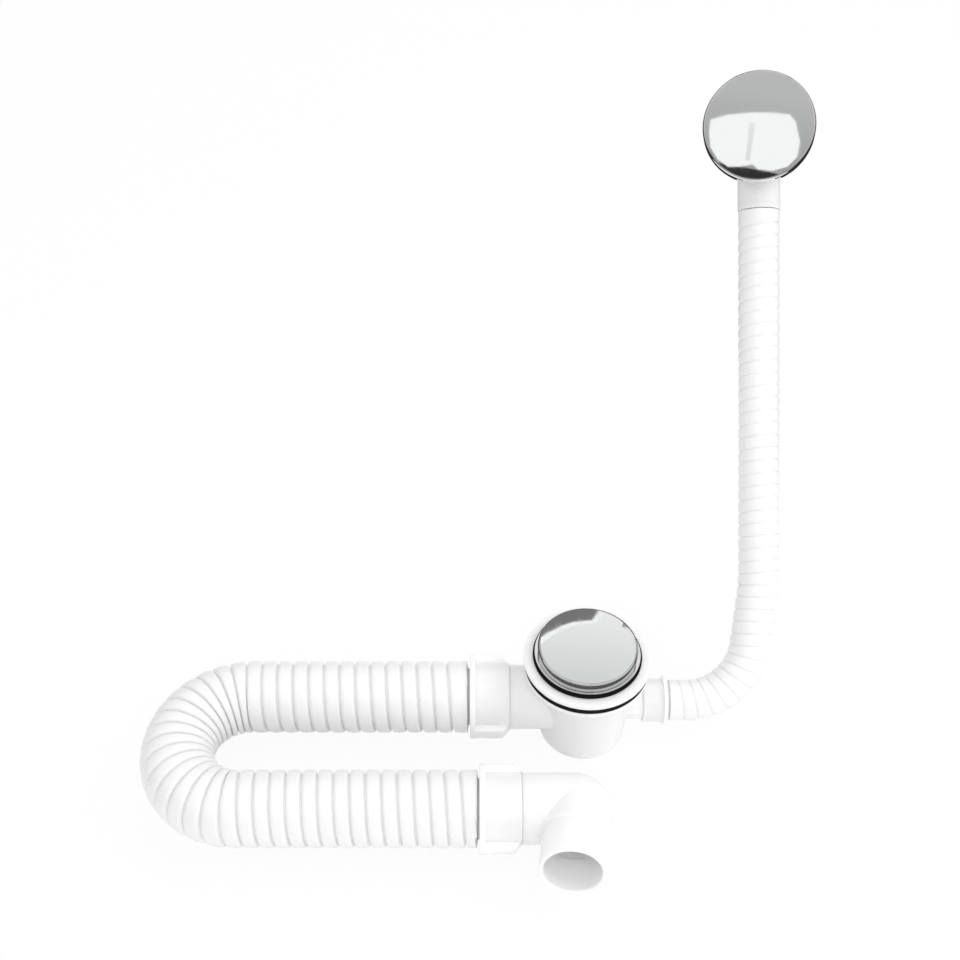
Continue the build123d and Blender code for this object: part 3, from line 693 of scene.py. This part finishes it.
class HosePath:
    """Straight runs and arcs in one plane, walked by the turns of a hose's spiral."""

    def __init__(self, plane, start):
        self.plane = plane
        self.legs = []
        self.place = Vector(start)
        self.heading = 0.0
        self.turns = 0.0

    def add(self, length, curve, turns):
        """Adds a leg, which bends to the left for a positive curve."""
        self.legs.append((self.turns, turns, self.place, self.heading, curve, length))
        self.place = self.reach(self.place, self.heading, curve, length)
        self.heading += curve * length
        self.turns += turns

    @staticmethod
    def reach(place, heading, curve, length):
        """Point on a leg at a length from its start."""
        if curve == 0:
            return place + Vector((cos(heading), sin(heading))) * length
        later = heading + curve * length
        return place + Vector((sin(later) - sin(heading), cos(heading) - cos(later))) / curve

    def station(self, turn):
        """Frame across the path at a turn: z along it."""
        leg = [leg for leg in self.legs if leg[0] <= turn][-1]
        start, turns, place, heading, curve, length = leg
        gone = length * (turn - start) / turns
        spot = self.reach(place, heading, curve, gone)
        later = heading + curve * gone
        axes = self.plane.to_3x3()
        along = axes @ Vector((cos(later), sin(later), 0))
        across = axes @ Vector((0, 0, 1))
        station = Matrix((across.cross(along), across, along)).transposed().to_4x4()
        station.translation = self.plane @ Vector((spot.x, spot.y, 0))
        return station


def ease(share):
    """Smooth step from 0 to 1."""
    share = min(max(share, 0), 1)
    return share * share * (3 - 2 * share)


def spiral_skin(bm, path, band, radii, phase, plain, ends, sides):
    """Spiral tube: one turn's outline, repeated, screwed round once and bent along a path.

    It keeps the radii in ends over the first and last turns that plain gives, and leaves them
    over FADE turns. Its groove is deep only RUN_OUT to twice RUN_OUT turns further on. Returns
    the edges of its two rims.
    """
    groove, crest = radii
    older = set(bm.verts)
    whole = band + tuple((1 - share, rise) for share, rise in reversed(band[:-1]))
    outline = [
        bm.verts.new((groove + (crest - groove) * rise, 0, (phase + share - SPARE_TURNS) * TURN))
        for share, rise in whole
    ]
    edges = [bm.edges.new(pair) for pair in zip(outline, outline[1:])]
    bmesh.ops.spin(
        bm,
        geom=outline + edges,
        axis=(0, 0, 1),
        dvec=(0, 0, TURN),
        angle=0,
        steps=round(path.turns) + SPARE_TURNS + 1,
        use_duplicate=True,
    )
    bmesh.ops.remove_doubles(bm, verts=[v for v in bm.verts if v not in older], dist=MERGE)
    line = [v for v in bm.verts if v not in older]
    line += [edge for edge in bm.edges if edge.verts[0] not in older]
    bmesh.ops.spin(
        bm, geom=line, axis=(0, 0, 1), dvec=(0, 0, TURN / sides), angle=2 * pi, steps=sides
    )
    bmesh.ops.remove_doubles(bm, verts=[v for v in bm.verts if v not in older], dist=MERGE)
    for vert in [v for v in bm.verts if v not in older]:
        turn = min(max(vert.co.z / TURN, 0), path.turns)
        end = ends[0] if turn < path.turns / 2 else ends[1]
        gone = min(turn, path.turns - turn) - plain
        across = vert.co.xy.to_3d()
        band_radius = crest - (crest - across.length) * ease(gone / RUN_OUT - 1)
        across.length = end + (band_radius - end) * ease(gone / FADE)
        vert.co = path.station(turn) @ across
    bmesh.ops.remove_doubles(bm, verts=[v for v in bm.verts if v not in older], dist=MERGE)
    start, stop = path.station(0).translation, path.station(path.turns).translation
    rims = [edge for edge in bm.edges if edge.is_boundary and edge.verts[0] not in older]
    nearer = {
        edge: (edge.verts[0].co - start).length < (edge.verts[0].co - stop).length
        for edge in rims
    }
    return [[edge for edge in rims if nearer[edge] == first] for first in (True, False)]


def draw_out(bm, rim, place, radius, steps):
    """Extrudes an open rim through circles: distances along the place's z, and radii."""
    placed = place @ Matrix.Scale(radius, 4)
    for distance, reached in steps:
        grown = bmesh.ops.extrude_edge_only(bm, edges=rim)["geom"]
        fresh = {item for item in grown if isinstance(item, bmesh.types.BMVert)}
        rim = [
            item
            for item in grown
            if isinstance(item, bmesh.types.BMEdge) and set(item.verts) <= fresh
        ]
        target = place @ Matrix.Translation((0, 0, distance)) @ Matrix.Scale(reached, 4)
        bmesh.ops.transform(bm, matrix=target @ placed.inverted(), verts=list(fresh))
        placed = target
    return rim


def corrugated_hose(path, crest, sizes, ends):
    """Hose with a spiral groove outside and in, and a plain neck at each end.

    Each end is the neck's radius and its steps outwards: distances and radii, down to the bore.
    """
    bm = bmesh.new()
    outside = (crest - sizes.groove_depth, crest)
    inside = tuple(radius - sizes.wall for radius in outside)
    necks = [neck for neck, steps in ends]
    bores = [steps[-1][1] for neck, steps in ends]
    outer = spiral_skin(bm, path, BAND, outside, sizes.phase, 0, necks, sizes.sides)
    inner = spiral_skin(bm, path, INNER_BAND, inside, sizes.phase, FADE, bores, sizes.sides)
    for turn, way, (neck, steps), rim, bore in zip((0, path.turns), (-1, 1), ends, outer, inner):
        outwards = [(way * distance, radius) for distance, radius in steps]
        rim = draw_out(bm, rim, path.station(turn), neck, outwards)
        bmesh.ops.bridge_loops(bm, edges=rim + bore)
    return bm


def flanged_end(neck, flange, bore, seat, thickness):
    """End of a hose whose rim a union nut presses on its washer."""
    back = seat + thickness
    return (neck, ((seat, neck), (seat, flange), (back, flange), (back, bore)))


class BATHWASTE_OT_trap_hose(Operator):
    """Thick corrugated hose, from the waste's nut round to the elbow's nut"""

    bl_idname = "bathwaste.trap_hose"
    bl_label = "Trap Hose"

    def execute(self, context):
        sizes = context.scene.bathwaste_trap_hose
        upper, lower = centre("outlet_nut"), centre("elbow_nut")
        low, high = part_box("trap_hose")
        crest = (high.z - low.z) / 2
        bend = (upper.y - lower.y) / 2
        turn_at = low.x + crest + bend
        upper_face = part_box("outlet_nut")[0].x - sizes.neck_show
        lower_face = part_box("elbow_nut")[0].x - sizes.neck_show
        plane = Matrix.Translation((0, 0, upper.z)) @ Matrix.Rotation(pi, 4, "Z")
        path = HosePath(plane, (-upper_face, 0))
        path.add(upper_face - turn_at, 0, sizes.upper_turns)
        path.add(pi * bend, 1 / bend, sizes.bend_turns)
        path.add(lower_face - turn_at, 0, sizes.lower_turns)
        end = flanged_end(
            sizes.neck_radius,
            sizes.flange_radius,
            sizes.neck_radius - sizes.wall,
            sizes.neck_show + sizes.flange_thickness,
            sizes.flange_thickness,
        )
        finish_mesh(
            corrugated_hose(path, crest, sizes, (end, end)),
            "trap_hose_skin",
            bpy.data.materials["hose_plastic"],
            "waste",
            "trap_hose",
        )
        return {"FINISHED"}


class BATHWASTE_OT_overflow_hose(Operator):
    """Slim corrugated hose, from the waste's small nut up to the overflow head"""

    bl_idname = "bathwaste.overflow_hose"
    bl_label = "Overflow Hose"

    def execute(self, context):
        sizes = context.scene.bathwaste_overflow_hose
        nut = centre("inlet_nut")
        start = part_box("inlet_nut")[1].x + sizes.neck_show
        plane = Matrix.Translation((0, 0, nut.z)) @ Matrix.Rotation(pi / 2 - sizes.lean, 4, "X")
        easy_turn = pi / 2 - sizes.low_bend_turn
        bends = (
            (sizes.low_bend_radius * sizes.low_bend_turn, 1 / sizes.low_bend_radius),
            (sizes.leaning_run, 0),
            (sizes.easy_bend_radius * easy_turn, 1 / sizes.easy_bend_radius),
        )
        over = HosePath(plane, (0, 0))
        for length, curve in bends:
            over.add(length, curve, length / sizes.pitch)
        level = sizes.riser_offset - start - over.place.x
        riser = sizes.rise - over.place.y
        path = HosePath(plane, (start, 0))
        for length, curve in ((level, 0), *bends, (riser, 0)):
            path.add(length, curve, length / sizes.pitch)
        nut_end = flanged_end(
            sizes.neck_radius,
            sizes.flange_radius,
            sizes.bore_radius,
            sizes.neck_show + sizes.flange_seat,
            sizes.flange_thickness,
        )
        cuff_bore = sizes.cuff_radius - sizes.cuff_wall
        cuff_end = (
            sizes.cuff_radius,
            ((sizes.cuff_length, sizes.cuff_radius), (sizes.cuff_length, cuff_bore)),
        )
        finish_mesh(
            corrugated_hose(path, sizes.crest_radius, sizes, (nut_end, cuff_end)),
            "overflow_hose_skin",
            bpy.data.materials["hose_plastic"],
            "waste",
            "overflow_hose",
        )
        return {"FINISHED"}


class BATHWASTE_OT_cover(Operator):
    """Overflow cover, whose dome gets the normals of one sphere"""

    bl_idname = "bathwaste.cover"
    bl_label = "Overflow Cover"

    def execute(self, context):
        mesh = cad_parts["overflow_plate"].data.copy()
        mesh.name = "overflow_cover"
        outward = Vector(COVER_AXIS)
        dome = [face for face in mesh.polygons if outward.dot(face.normal) > DOME_COS]
        heights = [outward.dot(mesh.vertices[face.vertices[0]].co) for face in dome]
        shell = [face for face, height in zip(dome, heights) if height > max(heights) - DOME_DEPTH]
        middle = centre("overflow_plate")
        top = middle + outward * (max(heights) - outward.dot(middle))
        sphere = top - outward * DOME_RADIUS
        normals = [Vector(corner.vector) for corner in mesh.corner_normals]
        for face in shell:
            for corner in face.loop_indices:
                spot = mesh.vertices[mesh.loops[corner].vertex_index].co
                normals[corner] = (spot - sphere).normalized()
        mesh.normals_split_custom_set(normals)
        add_piece("overflow_cover", mesh, "waste", "overflow_plate")
        return {"FINISHED"}


class BATHWASTE_OT_finishes(Operator):
    """Materials of the moulded pieces, the hoses, the seals and the metals"""

    bl_idname = "bathwaste.finishes"
    bl_label = "Finishes"

    def execute(self, context):
        colors = context.scene.bathwaste_finish
        moulding = skin_material(
            "moulded_plastic",
            colors.moulding,
            MOULDING_SHADE,
            MOULDING_ROUGHNESS,
            (
                ("Subsurface Weight", SOAK_SHARE),
                ("Subsurface Radius", (1, 1, 1)),
                ("Subsurface Scale", SOAK_DEPTH),
            ),
        )
        hose = skin_material("hose_plastic", colors.hose, HOSE_SHADE, HOSE_ROUGHNESS)
        rubber = skin_material(
            "seal_rubber",
            colors.rubber,
            RUBBER_SHADE,
            RUBBER_ROUGHNESS,
            (("Specular IOR Level", RUBBER_SHINE),),
        )
        chrome = metal_material("plated_chrome", colors.chrome, CHROME_ROUGHNESS)
        brass = metal_material("turned_brass", colors.brass, BRASS_ROUGHNESS)
        steel = metal_material("drawn_steel", colors.steel, STEEL_ROUGHNESS)
        dress(MOULDINGS, moulding)
        dress(("trap_hose", "overflow_hose"), hose)
        dress(RUBBERS, rubber)
        dress(CHROMES, chrome)
        dress(BRASSES, brass)
        dress(STEELS, steel)
        return {"FINISHED"}


# Stage


def glow_material(name, low, high, low_at=-GLOW_REACH, high_at=GLOW_REACH, axis="Y"):
    """Plain glow, from one strength to another along an axis of its piece."""
    material = new_material(name)
    tree = material.node_tree
    out = tree.nodes.new("ShaderNodeOutputMaterial")
    glow = tree.nodes.new("ShaderNodeEmission")
    place = tree.nodes.new("ShaderNodeTexCoord")
    split = tree.nodes.new("ShaderNodeSeparateXYZ")
    ramp = tree.nodes.new("ShaderNodeMapRange")
    ramp.inputs["From Min"].default_value = low_at
    ramp.inputs["From Max"].default_value = high_at
    ramp.inputs["To Min"].default_value = low
    ramp.inputs["To Max"].default_value = high
    link(tree, place.outputs["Object"], split.inputs["Vector"])
    link(tree, split.outputs[axis], ramp.inputs["Value"])
    link(tree, ramp.outputs["Result"], glow.inputs["Strength"])
    link(tree, glow.outputs["Emission"], out.inputs["Surface"])
    return material


def stage_mesh(bm, name, material, place=None):
    """Makes the floor or, where a place is given, a card that only mirrors see."""
    mesh = bpy.data.meshes.new(name)
    bm.to_mesh(mesh)
    bm.free()
    mesh.materials.append(material)
    piece = bpy.data.objects.new(name, mesh)
    bpy.context.scene.collection.objects.link(piece)
    if place is not None:
        piece.matrix_world = place
        piece.visible_camera = False
        piece.visible_diffuse = False
        piece.visible_transmission = False
        piece.visible_shadow = False


def facing(mirror, direction, distance):
    """Frame of a card out from a mirror: x is level, y goes up and z comes back."""
    away = Vector(direction).normalized()
    level = away.cross(Vector((0, 0, 1))).normalized()
    card = Matrix((level, level.cross(away), -away)).transposed().to_4x4()
    card.translation = Vector(mirror) + away * distance
    return card


def polygon(corners):
    """Flat card with the given corners, in millimetres."""
    bm = bmesh.new()
    bm.faces.new([bm.verts.new((x * MM, y * MM, 0)) for x, y in corners])
    return bm


def disc(radius, bore=None):
    """Round card, in millimetres, with a round hole in it where a bore is given."""
    bm = bmesh.new()
    bmesh.ops.create_circle(bm, cap_ends=bore is None, segments=CIRCLE_SIDES, radius=radius * MM)
    if bore is not None:
        bmesh.ops.create_circle(bm, segments=CIRCLE_SIDES, radius=bore * MM)
        bmesh.ops.bridge_loops(bm, edges=bm.edges[:])
    return bm


def hang_cards(mirror, direction, distance, cards):
    """Hangs cards where a mirror looks: name, shape and glow, and how much nearer each is."""
    for name, bm, glow, nearer in cards:
        stage_mesh(bm, name, glow, facing(mirror, direction, distance - nearer))


def surround_chrome(sizes):
    """Makes the room, the rings and the cards that the chrome mirrors."""
    glows = {name: glow_material(name, low, high) for name, low, high in CARD_GLOWS}
    dark = glow_material("dark_card", sizes.room_glow, sizes.room_glow)
    sky = glow_material("room_sky", sizes.room_glow, sizes.room_sky, SKY_FROM, SKY_TO, "Z")
    room = bmesh.new()
    bmesh.ops.create_icosphere(room, subdivisions=4, radius=sizes.room_radius)
    stage_mesh(room, "studio_room", sky, Matrix())
    ground = disc(sizes.room_radius / MM, GROUND_BORE)
    over_floor = Matrix.Translation((0, 0, cad_box[0].z + GROUND_GAP * MM))
    stage_mesh(ground, "dark_ground", dark, over_floor)
    ring = disc(RING_RADIUS, RING_BORE)
    over_flange = Matrix.Translation((0, 0, RING_HEIGHT * MM))
    stage_mesh(ring, "dark_rim", glows["dusk_rim"], over_flange)
    hoop = bmesh.new()
    bmesh.ops.create_cone(
        hoop,
        cap_ends=False,
        segments=CIRCLE_SIDES,
        radius1=HOOP_RADIUS * MM,
        radius2=HOOP_RADIUS * MM,
        depth=HOOP_DEPTH * MM,
    )
    bmesh.ops.bisect_plane(
        hoop,
        geom=hoop.verts[:] + hoop.edges[:] + hoop.faces[:],
        plane_co=(0, HOOP_END * MM, 0),
        plane_no=(0, 1, 0),
        clear_outer=True,
    )
    round_plug = Matrix.Translation((0, 0, HOOP_HEIGHT * MM))
    stage_mesh(hoop, "pale_hoop", glows["hoop_card"], round_plug)

    cap = centre("plug_cap")
    cap.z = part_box("plug_cap")[1].z
    hang_cards(
        cap,
        CAP_LOOKS,
        sizes.card_distance,
        (
            ("cap_shade_card", disc(CAP_SHADE_RADIUS), glows["shade_card"], -0.05),
            ("cap_card", polygon(CAP_CARD), glows["pale_card"], 0),
            ("cap_edge_card", polygon(CAP_LIP), glows["white_card"], 0.02),
        ),
    )
    plate_ring = disc(PLATE_RING_RADIUS, PLATE_RING_BORE)
    hang_cards(
        centre("overflow_plate"),
        PLATE_LOOKS,
        sizes.card_distance,
        (
            ("plate_card", polygon(PLATE_CARD), glows["grey_card"], 0),
            ("plate_dark_card", polygon(PLATE_DARK), dark, 0),
            ("plate_glow_card", polygon(PLATE_GLOW), glows["white_card"], 0.04),
            ("plate_strip_card", polygon(PLATE_STRIP), glows["strip_card"], 0.06),
            ("plate_ring_card", plate_ring, glows["strip_card"], 0.02),
        ),
    )


def shown_rays(tree):
    """1 for the rays that show the background: straight, mirrored and through glass."""
    rays = tree.nodes.new("ShaderNodeLightPath")
    shown = rays.outputs["Is Camera Ray"]
    for name in ("Is Glossy Ray", "Is Transmission Ray"):
        either = tree.nodes.new("ShaderNodeMath")
        either.operation = "MAXIMUM"
        link(tree, shown, either.inputs[0])
        link(tree, rays.outputs[name], either.inputs[1])
        shown = either.outputs[0]
    return shown


def light_world(world, daylight):
    """Even daylight, and plain white where the background is seen."""
    world.use_nodes = True
    tree = world.node_tree
    back = tree.nodes["Background"]
    back.inputs["Color"].default_value = (1, 1, 1, 1)
    level = tree.nodes.new("ShaderNodeMath")
    level.operation = "MULTIPLY_ADD"
    level.inputs[1].default_value = 1 - daylight
    level.inputs[2].default_value = daylight
    link(tree, shown_rays(tree), level.inputs[0])
    link(tree, level.outputs[0], back.inputs["Strength"])


def floor_material(shadow_share):
    """White to the camera and to mirrors, apart from a share of the real shade."""
    material = new_material("paper_floor")
    tree = material.node_tree
    out = tree.nodes.new("ShaderNodeOutputMaterial")
    paper = tree.nodes.new("ShaderNodeBsdfDiffuse")
    paper.inputs["Color"].default_value = (*FLOOR_GREY, 1)
    white = tree.nodes.new("ShaderNodeEmission")
    seen = tree.nodes.new("ShaderNodeMath")
    seen.operation = "MULTIPLY"
    seen.inputs[1].default_value = 1 - shadow_share
    blend = tree.nodes.new("ShaderNodeMixShader")
    link(tree, shown_rays(tree), seen.inputs[0])
    link(tree, seen.outputs[0], blend.inputs["Fac"])
    link(tree, paper.outputs["BSDF"], blend.inputs[1])
    link(tree, white.outputs["Emission"], blend.inputs[2])
    link(tree, blend.outputs["Shader"], out.inputs["Surface"])
    return material


class BATHWASTE_OT_stage(Operator):
    """Floor, lights, world, camera and what the chrome mirrors"""

    bl_idname = "bathwaste.stage"
    bl_label = "Stage"

    def execute(self, context):
        sizes = context.scene.bathwaste_stage
        scene = context.scene
        floor = bmesh.new()
        bmesh.ops.create_grid(floor, x_segments=1, y_segments=1, size=sizes.floor_reach)
        bmesh.ops.translate(floor, vec=(0, 0, cad_box[0].z - FLOOR_GAP), verts=floor.verts)
        stage_mesh(floor, "floor", floor_material(sizes.shadow_share))
        for name, place, power in LAMPS:
            lamp = bpy.data.lights.new(name, "AREA")
            lamp.size = sizes.lamp_side
            lamp.energy = power
            light = bpy.data.objects.new(name, lamp)
            light.location = place
            # A lamp shines along its -Z, so its Z points away from the waste
            light.rotation_euler = Vector(place).to_track_quat("Z", "Y").to_euler()
            light.visible_glossy = False
            scene.collection.objects.link(light)
        scene.world = bpy.data.worlds.new("studio")
        light_world(scene.world, sizes.daylight)
        lens = bpy.data.cameras.new("photo_camera")
        lens.lens = sizes.lens
        camera = bpy.data.objects.new("photo_camera", lens)
        camera.location = sizes.camera_place
        camera.rotation_euler = (pi / 2 - sizes.camera_pitch, 0, 0)
        scene.collection.objects.link(camera)
        scene.camera = camera
        scene.view_settings.view_transform = "Standard"
        surround_chrome(sizes)
        return {"FINISHED"}


class BATHWASTE_PT_panel(Panel):
    """Lists the pieces of the bath waste"""

    bl_idname = "BATHWASTE_PT_panel"
    bl_label = "Bath Waste"
    bl_space_type = "VIEW_3D"
    bl_region_type = "UI"
    bl_category = "Bath Waste"

    def draw(self, context):
        for operator in OPERATORS:
            self.layout.operator(operator.bl_idname)


GROUPS = (
    ("bathwaste_trap_hose", BATHWASTE_PG_trap_hose),
    ("bathwaste_overflow_hose", BATHWASTE_PG_overflow_hose),
    ("bathwaste_finish", BATHWASTE_PG_finish),
    ("bathwaste_stage", BATHWASTE_PG_stage),
)
OPERATORS = (
    BATHWASTE_OT_finishes,
    BATHWASTE_OT_trap_hose,
    BATHWASTE_OT_overflow_hose,
    BATHWASTE_OT_cover,
    BATHWASTE_OT_stage,
)


def register():
    """Registers the classes and hangs the settings on the scene."""
    for name, group in GROUPS:
        bpy.utils.register_class(group)
        setattr(bpy.types.Scene, name, PointerProperty(type=group))
    for operator in OPERATORS:
        bpy.utils.register_class(operator)
    bpy.utils.register_class(BATHWASTE_PT_panel)


def unregister():
    """Takes everything away again."""
    bpy.utils.unregister_class(BATHWASTE_PT_panel)
    for operator in reversed(OPERATORS):
        bpy.utils.unregister_class(operator)
    for name, group in reversed(GROUPS):
        delattr(bpy.types.Scene, name)
        bpy.utils.unregister_class(group)


def main():
    """Builds everything."""
    register()
    bpy.ops.bathwaste.finishes()
    bpy.ops.bathwaste.trap_hose()
    bpy.ops.bathwaste.overflow_hose()
    bpy.ops.bathwaste.cover()
    bpy.ops.bathwaste.stage()


if __name__ == "__main__":
    main()
